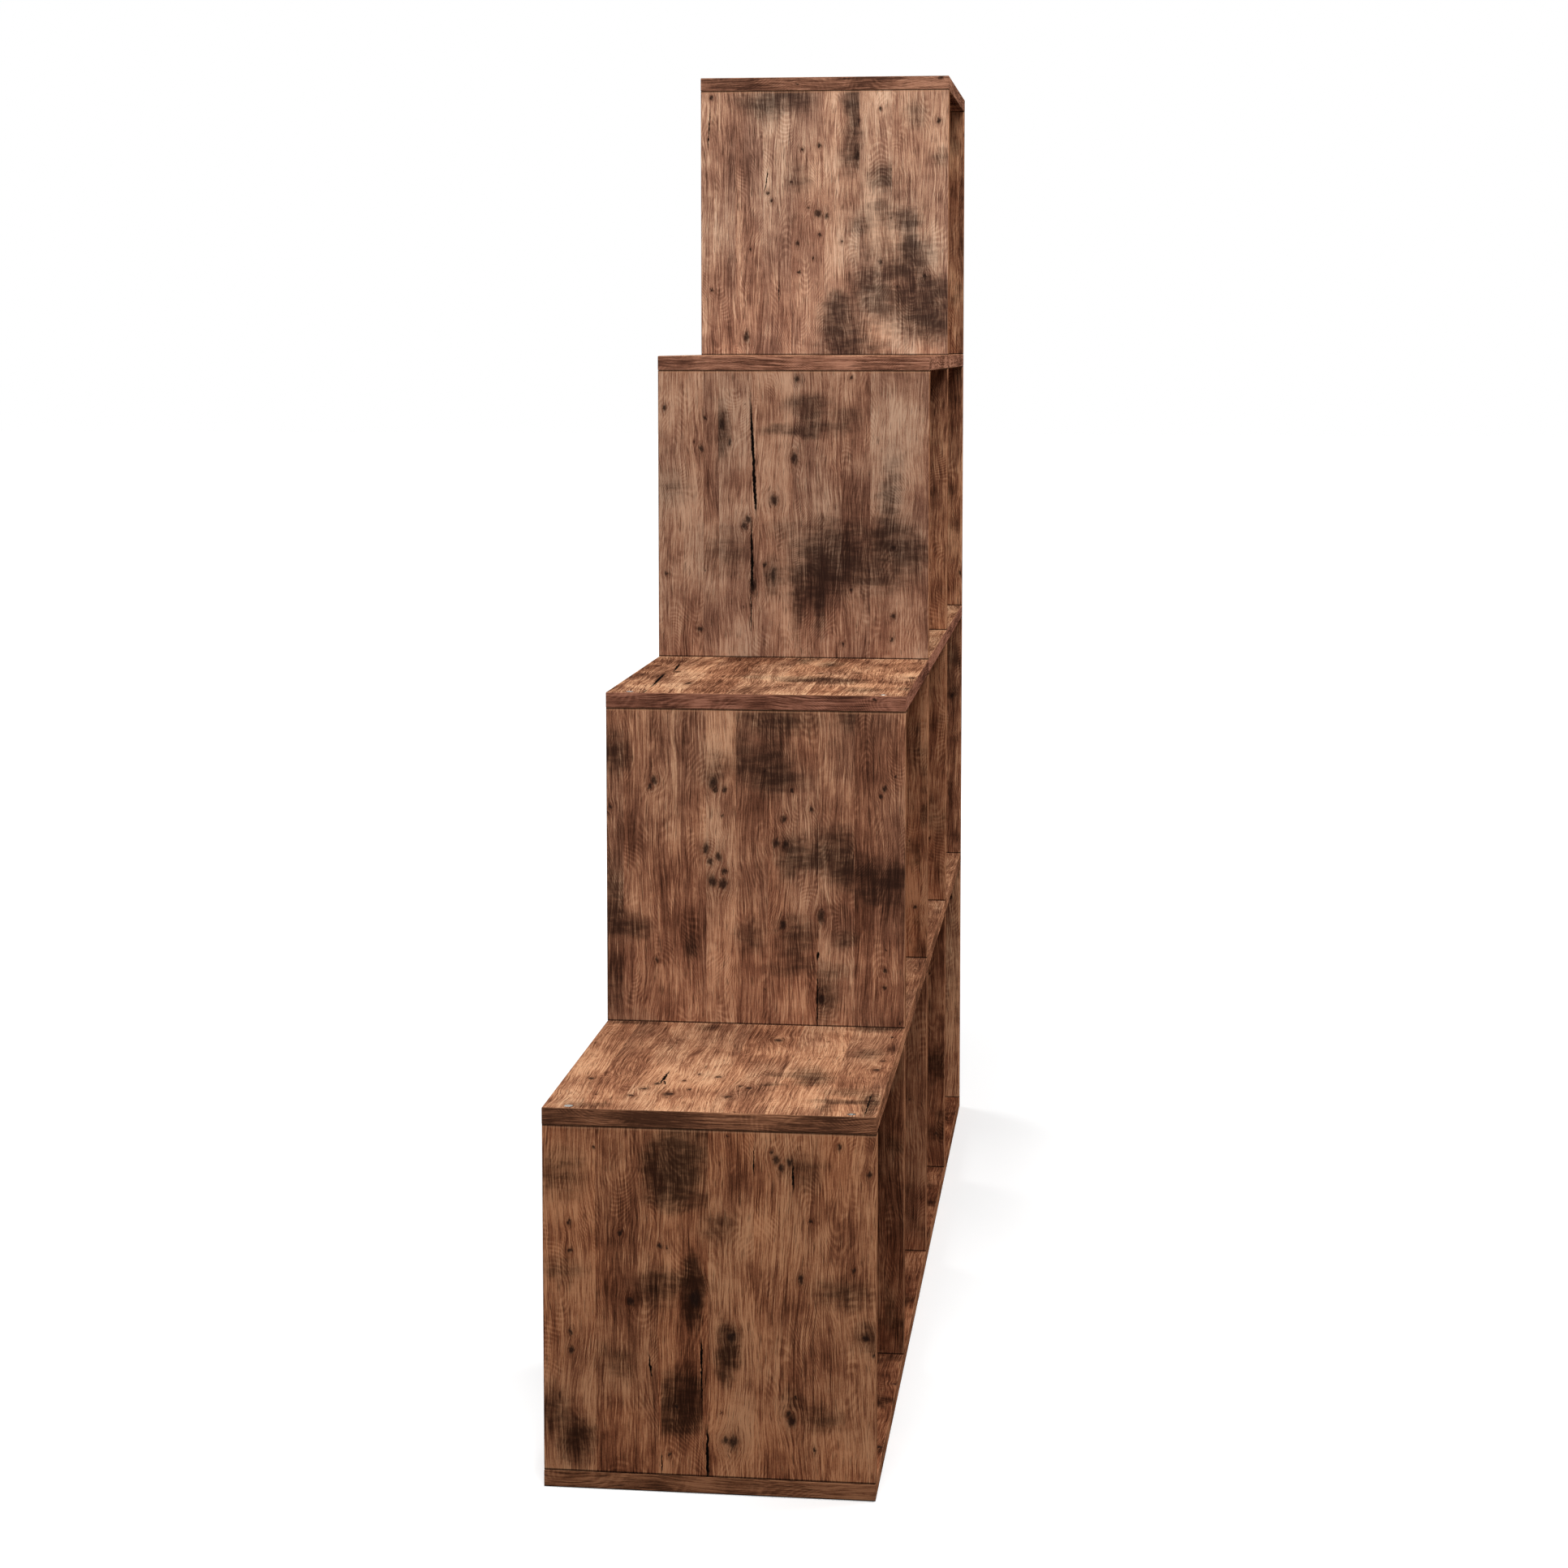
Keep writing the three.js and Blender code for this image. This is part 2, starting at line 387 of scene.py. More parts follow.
# one dark cloud or crack: an oval that may be cut off straight at the edge of its stave
def makeStainGroup():
    inputs = dict(Vector=None, Across=0.0, Mask=0.0, Spot=None, Shrink=None, Lean=0.0, Depth=1.0, Core=0.25,
                  Rim=stains["crackRim"], Low=-stains["uncut"], High=stains["uncut"])
    tree, source, out = newGroup("oakStain", inputs, dict(Mask="Float"))
    away = vecCalc(tree, "SUBTRACT", source["Vector"], source["Spot"])
    x, y, z = split(tree, away)
    leaned = join(tree, calc(tree, "MULTIPLY_ADD", y, source["Lean"], x), y, z)
    reach = vecCalc(tree, "LENGTH", vecCalc(tree, "MULTIPLY", leaned, source["Shrink"]))
    mask = times(tree, fade(tree, reach, source["Rim"], source["Core"]), source["Depth"])
    past = calc(tree, "GREATER_THAN", source["Across"], source["Low"])
    inside = times(tree, past, calc(tree, "LESS_THAN", source["Across"], source["High"]))
    feed(tree, out["Mask"], calc(tree, "MULTIPLY_ADD", mask, inside, source["Mask"]))
    return tree


grain = {
    "slow": (0.013, 0.0060, 1.0, 0.5),
    "quick": (0.075, 0.030, 1.0, 0.5),
    "fibre": (0.62, 0.013, 3.0, 0.66),
    "hair": (1.75, 0.040, 2.0, 0.6),
    "speck": (0.95, 0.50, 1.0, 0.5),
    "pore": (1.05, 0.060, 1.0, 0.5),
    "streak": (0.11, 0.0045, 2.0, 0.55),
    "cloud": (0.019, 0.014, 2.0, 0.5),
    "ripple": (0.050, 0.120, 1.0, 0.5),
    "sway": 24.0,  # how far the fibres wander sideways
    "quiver": 2.5,
    "cloudSlide": 0.06,  # the share of a stave's shift that its clouds take
    "ringSpread": 420.0,
    "ringShape": (-0.6, 1.0, -0.35, 1.0),
    "ringShown": (0.46, 0.60),
    "poreShown": (0.42, 0.28),
}


# the grain: fibres, hairs, pores, streaks, clouds across the grain, and the arcs of the flat-sawn figure
def makeGrainGroup():
    inputs = dict(Vector=None, Plain=None, Seed=0.0, Stave=0.5, Shift=0.0, Contrast=1.0)
    outputs = dict(Shade="Float", Pore="Float", Fine="Float", Warm="Float")
    tree, source, out = newGroup("oakGrain", inputs, outputs)
    offset = vecScale(tree, join(tree, *oak["seedStep"]), source["Seed"])
    slid = times(tree, source["Shift"], oak["staveShift"])
    sunk = times(tree, source["Shift"], oak["staveSink"])
    slide = join(tree, 0.0, slid, sunk)
    place = vecCalc(tree, "ADD", vecCalc(tree, "ADD", source["Vector"], offset), slide)
    plain = vecCalc(tree, "ADD", source["Plain"], offset)
    slow = split(tree, foilNoise(tree, place, grain["slow"], "Color"))
    quick = split(tree, foilNoise(tree, place, grain["quick"], "Color"))
    wide = centred(tree, slow[0])
    quiver = times(tree, centred(tree, quick[0]), grain["quiver"])
    sway = calc(tree, "MULTIPLY_ADD", wide, grain["sway"], quiver)
    bent = vecCalc(tree, "ADD", place, join(tree, sway, 0.0, 0.0))
    layers = {}
    for name in ("fibre", "hair", "speck", "pore", "streak"):
        layers[name] = foilNoise(tree, bent, grain[name])
    clouded = vecCalc(tree, "ADD", plain, vecScale(tree, slide, grain["cloudSlide"]))
    layers["cloud"] = foilNoise(tree, clouded, grain["cloud"])
    layers["ripple"] = foilNoise(tree, place, grain["ripple"])
    fromEdge = split(tree, bent)[0]
    spread = times(tree, slow[1], grain["ringSpread"])
    ringPhase = calc(tree, "MULTIPLY_ADD", fromEdge, 1.0, spread)
    ring = fade(tree, calc(tree, "SINE", ringPhase), *grain["ringShape"])
    shown = fade(tree, quick[1], *grain["ringShown"])
    shade = oak["bias"]
    for name in ("fibre", "hair", "speck", "streak", "cloud", "ripple"):
        shade = calc(tree, "ADD", shade, times(tree, centred(tree, layers[name]), oak[name]))
    shade = calc(tree, "MULTIPLY_ADD", times(tree, ring, shown), oak["figure"], shade)
    shade = calc(tree, "MULTIPLY_ADD", centred(tree, source["Stave"]), oak["stave"], shade)
    feed(tree, out["Shade"], mixValue(tree, source["Contrast"], oak["bias"], shade))
    feed(tree, out["Pore"], fade(tree, layers["pore"], *grain["poreShown"]))
    feed(tree, out["Fine"], layers["hair"])
    feed(tree, out["Warm"], slow[2])
    return tree


wandering = {
    "wide": (0.042, 0.040, 3.0, 0.58),
    "close": (0.30, 0.16, 2.0, 0.55),
    "patch": (0.021, 0.017, 2.0, 0.5),
    "rubbed": (0.040, 0.150, 3.0, 0.6),
    "push": (16.0, 18.0, 0.0),  # how far the two noises move an outline
    "nudge": (3.4, 6.0, 0.0),
    "knotNudge": (1.8, 1.3, 0.0),  # times the nudge
    "patchSlide": 9.0,
    "patchShown": (0.50, 0.78),
    "patchAmount": 0.8,
    "rubbedShown": (0.36, 0.62, 1.34, 0.66),  # how many times deeper a stain is, from place to place
}


# wandering outlines for the stains, and a mask of small patches for the faces with no list of stains
def makeWanderGroup():
    inputs = dict(Vector=None, Seed=0.0, Shift=0.0, Amount=1.0)
    outputs = dict(Vector="Vector", Close="Vector", Knotty="Vector", Patch="Float", Blotch="Float")
    tree, source, out = newGroup("oakWander", inputs, outputs)
    middle = (0.5, 0.5, 0.5)
    offset = vecScale(tree, join(tree, *oak["seedStep"]), source["Seed"])
    place = vecCalc(tree, "ADD", source["Vector"], offset)
    wide = foilNoise(tree, place, wandering["wide"], "Color")
    close = foilNoise(tree, place, wandering["close"], "Color")
    push = vecCalc(tree, "MULTIPLY", vecCalc(tree, "SUBTRACT", wide, middle), wandering["push"])
    nudge = vecCalc(tree, "MULTIPLY", vecCalc(tree, "SUBTRACT", close, middle), wandering["nudge"])
    slide = join(tree, 0.0, 0.0, times(tree, source["Shift"], wandering["patchSlide"]))
    pushed = vecCalc(tree, "ADD", vecCalc(tree, "ADD", place, push), slide)
    patch = foilNoise(tree, pushed, wandering["patch"])
    rubbed = foilNoise(tree, place, wandering["rubbed"])
    feed(tree, out["Vector"], vecCalc(tree, "ADD", vecCalc(tree, "ADD", source["Vector"], push), nudge))
    feed(tree, out["Close"], vecCalc(tree, "ADD", source["Vector"], nudge))
    knotty = vecCalc(tree, "MULTIPLY", nudge, wandering["knotNudge"])
    feed(tree, out["Knotty"], vecCalc(tree, "ADD", source["Vector"], knotty))
    shown = fade(tree, patch, *wandering["patchShown"])
    feed(tree, out["Patch"], times(tree, shown, source["Amount"]))
    feed(tree, out["Blotch"], fade(tree, rubbed, *wandering["rubbedShown"]))
    return tree


foil = {
    "pale": srgb(223, 173, 135),
    "light": srgb(194, 141, 106),
    "middle": srgb(154, 104, 78),
    "deep": srgb(106, 67, 49),
    "dark": srgb(56, 34, 25),
    "bandPale": srgb(176, 120, 86),
    "bandMiddle": srgb(132, 84, 58),
    "bandDark": srgb(72, 43, 29),
    "pore": srgb(54, 34, 25),
    "knot": srgb(40, 27, 23),
    "halo": srgb(100, 58, 41),
    "crack": srgb(14, 10, 9),
    "smoke": srgb(49, 31, 24),
    # the shades at which the colours of the face and of the banding lie
    "faceAt": {"dark": 0.0, "deep": 0.27, "middle": 0.5, "light": 0.68, "pale": 0.86},
    "bandAt": {"bandDark": 0.25, "bandMiddle": 0.55, "bandPale": 0.80},
    "stainDepth": 0.94,  # how far the deepest stain goes towards smoke
    "stainFade": 0.11,  # what a stain of depth 1 leaves of the wood's colour
    "stainGrain": 1.3,  # how much deeper a stain lies in dark fibres than in light ones
    "warmCast": (1.08, 0.93, 0.84, 1.0),
    "warmShown": (0.40, 0.60, 0.0, 0.45),
    "haloDepth": 0.42,
    "poreDepth": 0.6,
    "knotDepth": 0.9,
    "seamShadeDepth": 0.8,
    "wearAndHighlightShown": (0.38, 0.62, 0.18, 0.55),
    "rough": 0.56,
    "poreRough": 0.14,
    "fineRough": 0.25,
    "knotRough": 0.12,
}


def makeColourGroup():
    white = (1, 1, 1, 1)
    inputs = dict(Shade=0.5, Pore=0.0, Fine=0.5, Warm=0.5, Core=0.0, Halo=0.0, Stain=0.0, Crack=0.0,
                  Band=0.0, Arris=0.0, Seam=0.0, Tint=white, BandTint=white)
    tree, source, out = newGroup("oakColour", inputs, dict(Color="Color", Roughness="Float"))
    faceStops = [(at, foil[name]) for name, at in foil["faceAt"].items()]
    bandStops = [(at, foil[name]) for name, at in foil["bandAt"].items()]
    face = colourRamp(tree, source["Shade"], faceStops)
    band = colourRamp(tree, source["Shade"], bandStops)
    warmth = fade(tree, source["Warm"], *foil["warmShown"])
    face = mixColour(tree, warmth, face, mixColour(tree, 1.0, face, foil["warmCast"], "MULTIPLY"))
    halo = times(tree, source["Halo"], foil["haloDepth"])
    colour = mixColour(tree, halo, face, foil["halo"])
    darkness = calc(tree, "SUBTRACT", 0.5, source["Shade"])
    grainThrough = calc(tree, "MULTIPLY_ADD", darkness, foil["stainGrain"], 1.0)
    spread = calc(tree, "POWER", foil["stainFade"], times(tree, source["Stain"], grainThrough))
    stain = times(tree, calc(tree, "SUBTRACT", 1.0, spread), foil["stainDepth"])
    shadowed = mixColour(tree, stain, colour, foil["smoke"])
    # painted light and shade come in here, together with the print's own tint
    printedAndLit = mixColour(tree, 1.0, shadowed, source["Tint"], "MULTIPLY")
    band = mixColour(tree, 1.0, band, source["BandTint"], "MULTIPLY")
    colour = mixColour(tree, source["Band"], printedAndLit, band)
    pore = times(tree, source["Pore"], foil["poreDepth"])
    colour = mixColour(tree, pore, colour, foil["pore"])
    core = times(tree, source["Core"], foil["knotDepth"])
    colour = mixColour(tree, core, colour, foil["knot"])
    colour = mixColour(tree, source["Crack"], colour, foil["crack"])
    # the rounded arrises are painted lighter, partly as wear and partly as painted highlight
    wearAndHighlight = times(tree, source["Arris"], fade(tree, source["Fine"], *foil["wearAndHighlightShown"]))
    colour = mixColour(tree, wearAndHighlight, colour, foil["light"])
    # painted shade: the joint lines and the contact line at the floor, in the crack colour
    seamShade = times(tree, source["Seam"], foil["seamShadeDepth"])
    colour = mixColour(tree, seamShade, colour, foil["crack"])
    feed(tree, out["Color"], colour)
    rough = calc(tree, "MULTIPLY_ADD", source["Pore"], foil["poreRough"], foil["rough"])
    unevenness = calc(tree, "SUBTRACT", 0.5, source["Fine"])
    rough = calc(tree, "MULTIPLY_ADD", unevenness, foil["fineRough"], rough)
    rough = calc(tree, "MULTIPLY_ADD", source["Core"], foil["knotRough"], rough)
    feed(tree, out["Roughness"], rough)
    return tree


groups = {
    "plane": makePlaneGroup(),
    "knot": makeKnotGroup(),
    "wildKnots": makeWildKnotGroup(),
    "stain": makeStainGroup(),
    "grain": makeGrainGroup(),
    "wander": makeWanderGroup(),
    "colour": makeColourGroup(),
}
print("node groups built:", len(groups))

# What the faces in view show. Knots: across from the back edge, along from the foot or the near end, radius,
# and optionally how many times longer than wide. Stains: across, along, half width, half length, depth, and
# optionally the stave edges that cut them. Cracks: across, along, half length, half width, lean.
marks = {
    "upright_1_1": {
        "staves": (48, 104, 149, 191, 249),
        "knots": (
            (171, 130, 4.0), (138, 163, 4.5, 1.6), (211, 292, 3.2), (223, 290, 3.2), (215.5, 285, 2.6),
            (207, 298, 2.0), (267, 305, 2.0), (294, 280, 2.5), (71, 221, 2.4), (106, 211, 2.0),
            (25, 203, 2.2), (24, 229, 1.8), (79.5, 158, 3.4), (25, 128, 2.2), (26, 112, 2.6),
            (233, 184, 2.6, 1.6), (172, 33, 5.0), (165, 34, 3.0), (225, 54, 4.0, 1.5), (222, 61, 2.6),
            (280, 194, 2.0), (291, 133, 3.0),
        ),
        "stains": (
            (118, 278, 15, 20, 2.1), (130, 299, 22, 20, 0.75, 0, 150), (128, 255, 22, 9, 0.55, 0, 150),
            (14, 272, 18, 14, 0.75), (158, 228, 11, 10, 0.5), (120, 178, 20, 8, 0.7),
            (104, 167, 13, 12, 0.55), (136, 172, 6, 20, 1.9), (271, 173, 17, 9, 0.75),
            (237, 282, 12, 11, 0.45), (295, 133, 9, 11, 0.85), (124, 70, 19, 18, 1.2, 107, 145),
            (117, 50, 14, 10, 0.75, 107, 149), (8, 56, 11, 14, 0.75), (30, 28, 13, 14, 1.1),
            (252, 56, 12, 8, 0.55), (226, 71, 8, 9, 0.5), (67, 102, 13, 12, 0.4), (168, 115, 7, 18, 1.7),
            (15, 184, 14, 8, 0.6),
        ),
        "cracks": (
            (226, 276, 12, 0.9, 0.0), (143.8, 110, 14, 1.1, 0.0), (143.8, 86, 18, 0.6, 0.0),
            (149, 20, 26, 1.3, 0.0), (191, 290, 12, 0.5, 0.0), (97.5, 99, 10, 0.9, 0.1),
            (107.5, 10, 10, 0.6, 0.0),
        ),
    },
    "upright_2_2": {
        "staves": (17, 76, 100, 131, 162, 212.5, 249),
        "knots": (
            (48, 245, 3.4), (44.5, 238, 2.3), (108, 244, 4.2), (110, 236.5, 2.4), (119.5, 236.5, 2.4),
            (187, 237, 2.0), (279, 240, 2.8), (275.5, 233, 1.8), (179, 209, 2.8), (206, 218, 2.2),
            (4, 218, 2.4), (100.5, 177, 3.6, 1.7), (113, 169, 3.2), (105, 164, 3.2), (119, 154.5, 2.8),
            (107, 144.5, 5.0), (118, 142, 4.6, 1.3), (171, 184, 4.0), (180.5, 183, 3.0), (178, 101.5, 3.6),
            (216, 111, 4.0, 1.9), (216, 28, 4.4), (279.5, 57, 2.2), (279.5, 41, 2.2), (50.5, 63, 1.8),
        ),
        "stains": (
            (9, 272, 11, 14, 0.7), (175, 309, 26, 11, 0.85), (165, 259, 14, 17, 0.85),
            (175, 247, 20, 7, 0.6), (136, 267, 8, 17, 0.5), (110, 259, 9, 14, 0.5), (242, 311, 7, 11, 0.6),
            (231, 177, 17, 16, 0.9, 0, 249), (186, 170, 9, 15, 0.75), (203, 168, 18, 10, 0.75),
            (240, 156, 12, 11, 0.8, 0, 249), (264, 153, 18, 12, 0.65), (290, 151, 11, 8, 0.6),
            (270, 132, 15, 6, 0.5), (190, 87, 13, 15, 0.75), (145, 90, 11, 11, 0.5), (240, 88, 9, 7, 0.7),
            (6, 130, 10, 24, 0.7, -9, 17), (12, 97, 16, 10, 0.65), (32, 96, 10, 6, 0.55),
            (85, 77, 5, 9, 0.6), (220, 30, 9, 16, 0.8, 212.5, 999), (207, 58, 30, 6, 0.45),
            (8, 42, 9, 22, 0.5, -9, 17),
        ),
        "cracks": ((213, 71, 4, 1.1, 0.0), (212.5, 27, 28, 0.7, 0.0)),
    },
    "upright_3_3": {
        "staves": (50, 67, 103.5, 150, 203, 235, 292),
        "knots": (
            (7, 276, 2.6), (52, 264.5, 1.7), (48, 231, 2.8), (80, 237.5, 2.0, 1.6), (151.5, 221, 4.0, 1.6),
            (129, 175, 4.6), (100.5, 153, 3.6), (96, 146, 3.6), (106, 81, 3.4, 2.2), (47, 31, 2.8),
            (119, 103, 2.0), (214.5, 309, 1.6), (154.5, 307.5, 2.8), (9, 92, 1.8), (261, 123, 2.6),
            (214.5, 76.5, 1.6), (261, 47.5, 2.6), (205.5, 16, 1.8), (260, 22, 2.0), (71, 258, 3.2, 2.0),
            (128, 92, 3.4, 2.4),
        ),
        "stains": (
            (165, 280, 17, 7, 0.75), (172, 265, 11, 13, 0.65), (140, 251, 20, 4, 0.6),
            (172, 253, 24, 5, 0.65), (210, 265, 13, 9, 0.4), (12, 187, 22, 12, 0.5),
            (75, 120, 18, 18, 0.45), (260, 197, 8, 24, 0.6), (256, 166, 7, 18, 0.6),
            (262, 132, 17, 15, 0.7), (278, 116, 20, 11, 0.7), (247, 124, 6, 15, 0.6),
            (197, 127, 28, 17, 0.75), (180, 111, 28, 15, 0.65), (171, 85, 22, 20, 0.8),
            (222, 92, 36, 13, 0.8), (140, 142, 13, 8, 0.35), (181, 64, 6, 22, 1.0, 0, 185.5),
            (155, 57, 5, 26, 0.55), (71, 258, 6, 18, 0.8, 67, 999), (72, 237, 6, 12, 0.6, 67, 999),
            (127, 90, 6, 14, 0.7), (222, 118, 52, 48, 0.25),
        ),
        "cracks": (
            (106, 224, 60, 1.7, 0.049), (107.6, 186, 22, 1.1, 0.049), (104.5, 110, 36, 1.5, 0.02),
            (103.5, 62, 32, 0.5, 0.0),
        ),
    },
    "upright_4_4": {
        "staves": (42, 76, 110, 150, 192.5, 232, 262),
        "knots": (
            (13, 309.5, 2.2), (144, 251, 2.4), (143, 170, 3.8), (152.5, 167, 2.8), (86, 186, 2.2),
            (82, 194.5, 1.8), (117.5, 134.5, 2.6), (137, 116, 1.6), (144.5, 144.5, 1.8), (171, 136.5, 1.7),
            (119.5, 100, 1.6), (13, 78, 1.8), (55.5, 21, 3.6, 1.7), (218, 112, 2.0), (272, 94.5, 2.8),
            (192, 281, 1.8), (288, 279.5, 2.6), (218, 294.5, 1.7), (190, 240, 3.4, 2.2), (131, 176, 1.5),
        ),
        "stains": (
            (82, 304, 26, 11, 0.7), (80, 292, 11, 10, 0.5), (120, 310, 15, 13, 0.45),
            (187, 305, 9, 15, 0.8, 0, 192.5), (186, 288, 7, 15, 0.65, 0, 192.5), (184, 263, 9, 11, 0.5),
            (186, 236, 12, 13, 0.7, 0, 193), (222, 213, 12, 12, 0.7, 0, 232), (120, 212, 11, 13, 0.4),
            (246, 162, 15, 9, 0.85), (214, 174, 9, 9, 0.5), (195, 155, 9, 9, 0.5), (262, 122, 15, 13, 0.8),
            (255, 134, 7, 15, 0.7), (245, 104, 14, 7, 0.55), (277, 67, 21, 19, 0.95),
            (267, 42, 17, 13, 0.7), (285, 30, 15, 11, 0.6), (167, 62, 11, 9, 0.6), (167, 47, 15, 15, 0.85),
            (175, 27, 17, 11, 0.7), (184, 7, 28, 10, 0.85), (205, 80, 13, 13, 0.5), (212, 54, 15, 9, 0.4),
            (293, 235, 9, 9, 0.45), (262, 287, 9, 13, 0.4), (234, 72, 34, 36, 0.5), (222, 150, 34, 52, 0.2),
        ),
        "cracks": ((10, 272, 24, 0.7, -0.06), (95, 77, 15, 0.5, 0.0), (80, 210, 13, 0.6, -0.15)),
    },
    "shelf_board_1": {
        "staves": (33, 67, 100, 149, 200, 250, 289),
        "knots": (
            (181, 270, 4.6), (106, 58, 4.8), (160, 54, 3.6), (142.5, 123, 2.8), (72.5, 49, 2.6),
            (81, 73, 2.8), (90, 92, 2.2), (167, 92, 2.2), (26, 104, 2.8), (290, 200.5, 2.6),
            (286, 165.5, 3.4), (175, 87, 2.6), (112.5, 105.5, 2.2), (291, 294, 1.6),
        ),
        "stains": (
            (225, 148, 11, 15, 0.6), (231, 123, 11, 13, 0.85), (207, 138, 15, 8, 0.5),
            (195, 103, 9, 4, 0.5), (275, 328, 18, 9, 0.8), (25, 329, 15, 7, 0.6), (105, 315, 9, 9, 0.5),
            (270, 48, 22, 6, 0.8), (290, 63, 9, 9, 0.6), (274, 225, 11, 13, 0.5), (267, 83, 13, 11, 0.45),
            (41, 13, 15, 7, 0.45), (291, 33, 5, 36, 0.7), (254, 23, 4, 22, 0.5),
        ),
        "cracks": ((93, 115, 24, 1.1, -0.04), (96, 97, 6, 0.9, 0.2), (289, 40, 34, 0.8, 0.0)),
    },
    "shelf_board_2": {
        "staves": (38, 76, 120, 160, 200, 240),
        "knots": (
            (94, 300, 2.2), (14, 238, 3.4), (196, 187, 3.2), (199, 267, 4.8), (44, 183, 3.8),
            (295, 155, 3.8), (71, 82, 3.2, 2.6), (167, 65, 2.2), (11, 158, 3.2), (235, 193, 2.4),
        ),
        "stains": (
            (182, 133, 15, 17, 0.75), (180, 118, 15, 9, 0.6), (215, 133, 18, 9, 0.7),
            (230, 112, 15, 13, 0.65), (252, 45, 13, 13, 0.7), (135, 145, 21, 13, 0.4),
            (170, 318, 9, 15, 0.6), (167, 295, 5, 15, 0.7), (197, 275, 9, 20, 0.6), (297, 60, 9, 11, 0.6),
        ),
        "cracks": ((35.5, 110, 58, 1.6, 0.045), (37, 224, 38, 1.4, 0.06), (38, 10, 12, 1.0, 0.0)),
    },
}

# the foil prints of the pieces differ a little in brightness and warmth, and these tints also paint light
# and shade: painted shade darkens the lower end panel, the inner uprights and the bottom board, and a
# painted sheen makes the highest pieces lighter and greyer
printAndLightTints = {
    "upright_1_1": (0.93, 0.80, 0.72),
    "upright_2_2": (0.97, 1.00, 1.06),
    "upright_3_3": (0.80, 0.88, 1.02),
    "upright_4_4": (1.17, 1.41, 1.70),
    "upright_1_2": (0.60, 0.52, 0.48),
    "upright_1_3": (0.72, 0.62, 0.58),
    "upright_1_4": (0.78, 0.67, 0.62),
    "upright_2_3": (0.74, 0.63, 0.58),
    "upright_2_4": (0.78, 0.67, 0.62),
    "bottom_board": (0.60, 0.49, 0.44),
    "shelf_board_1": (0.90, 0.92, 0.93),
    "shelf_board_2": (1.0, 1.05, 1.06),
    "shelf_board_3": (1.06, 1.07, 1.14),
}

# the banding of these boards is a little lighter and greyer
bandTints = {
    "shelf_board_1": (1.50, 1.60, 1.72),
    "shelf_board_2": (1.00, 1.00, 1.28),
    "shelf_board_3": (1.17, 1.27, 1.60),
    "top_board": (1.20, 1.36, 1.70),
}

# the prints also differ in how strong their grain is
contrasts = {
    "upright_1_1": 1.10,
    "upright_2_2": 0.86,
    "upright_3_3": 0.82,
    "upright_4_4": 0.78,
    "shelf_board_1": 0.80,
}

# and in how deep their stains are
stainDepths = {"upright_3_3": 0.92, "upright_4_4": 1.12}

surface = {
    "markDepth": 7.0,  # how far into the piece a listed mark shows
    "footJointShade": (1.8, 1.0),  # painted shade along the joints: dark lines, from where they start to where they are full
    "headJointShade": (1.4, 0.7),
    # painted contact shadow along the lowest edge of the bottom board's banding
    "floorContactShade": (2.0, 0.8),
    "headHighlight": (3.2, 2.0),  # a painted highlight: a pale line under the head's joint
    "tooth": (1.1, 0.09, 2.0, 0.6),
    "toothStrength": 0.35,
    "toothHeight": 0.0005,  # metres
    "specular": 0.0,  # any gloss turns the narrow edges grey
}


# where the staves begin across the board, each with three random numbers
def staveStops(name, seed):
    draw = random.Random(seed)
    if name in marks:
        edges = [0, *marks[name]["staves"]]
    else:
        edges = [0]
        while edges[-1] < oak["lastStave"]:
            edges.append(edges[-1] + draw.uniform(*oak["staveWidth"]))
    within = [edge / oak["boardDepth"] for edge in edges if edge < oak["boardDepth"]]
    return [(edge, [draw.uniform(0, 1) for _ in range(3)] + [1]) for edge in within]


# the foot of an upright lies at its shoulder, above its dowels
def endsOf(name):
    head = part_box(name)[1].z * perMetre
    return head - oak["uprightHeight"], head


# a listed place in the foil's own lengths: uprights show their low end's face, boards their upper face
def spotOf(name, across, along):
    low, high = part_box(name)
    if name.startswith("upright"):
        return (across, endsOf(name)[0] + along, low.x * perMetre)
    return (across, low.x * perMetre + along, high.z * perMetre)


# turns a distance from a mark into a share of the mark's own size
def shrinkTo(halfWidth, halfLength):
    return (1 / halfWidth, 1 / halfLength, 1 / surface["markDepth"])


# the listed knots of a piece, each laid over the last, and then the strewn ones
def layKnots(tree, name, seed, place, outline):
    flow, core, halo = place, 0.0, 0.0
    for across, along, radius, *longer in marks.get(name, {}).get("knots", ()):
        size = radius / knots["shrink"]
        length = size * (longer[0] if longer else knots["stretch"])
        knot = useGroup(tree, groups["knot"], Vector=flow, Place=outline, Core=core, Halo=halo,
                        Spot=spotOf(name, across, along), Shrink=shrinkTo(size, length))
        flow, core, halo = knot["Vector"], knot["Core"], knot["Halo"]
    amount = wildKnots["amongListed"] if name in marks else 1.0
    strewn = useGroup(tree, groups["wildKnots"], Vector=flow, Place=outline, Core=core, Halo=halo,
                      Amount=amount, Seed=float(seed))
    return strewn["Vector"], strewn["Core"], strewn["Halo"]


def layStains(tree, name, across, place, mask):
    for spot, along, halfWidth, halfLength, depth, *cuts in marks.get(name, {}).get("stains", ()):
        low, high = cuts or (-stains["uncut"], stains["uncut"])
        mask = useGroup(tree, groups["stain"], Vector=place, Across=across, Mask=mask,
                        Depth=depth * stainDepths.get(name, 1.0), Spot=spotOf(name, spot, along),
                        Shrink=shrinkTo(halfWidth, halfLength),
                        Core=stains["core"], Rim=stains["rim"], Low=float(low), High=float(high))["Mask"]
    return mask


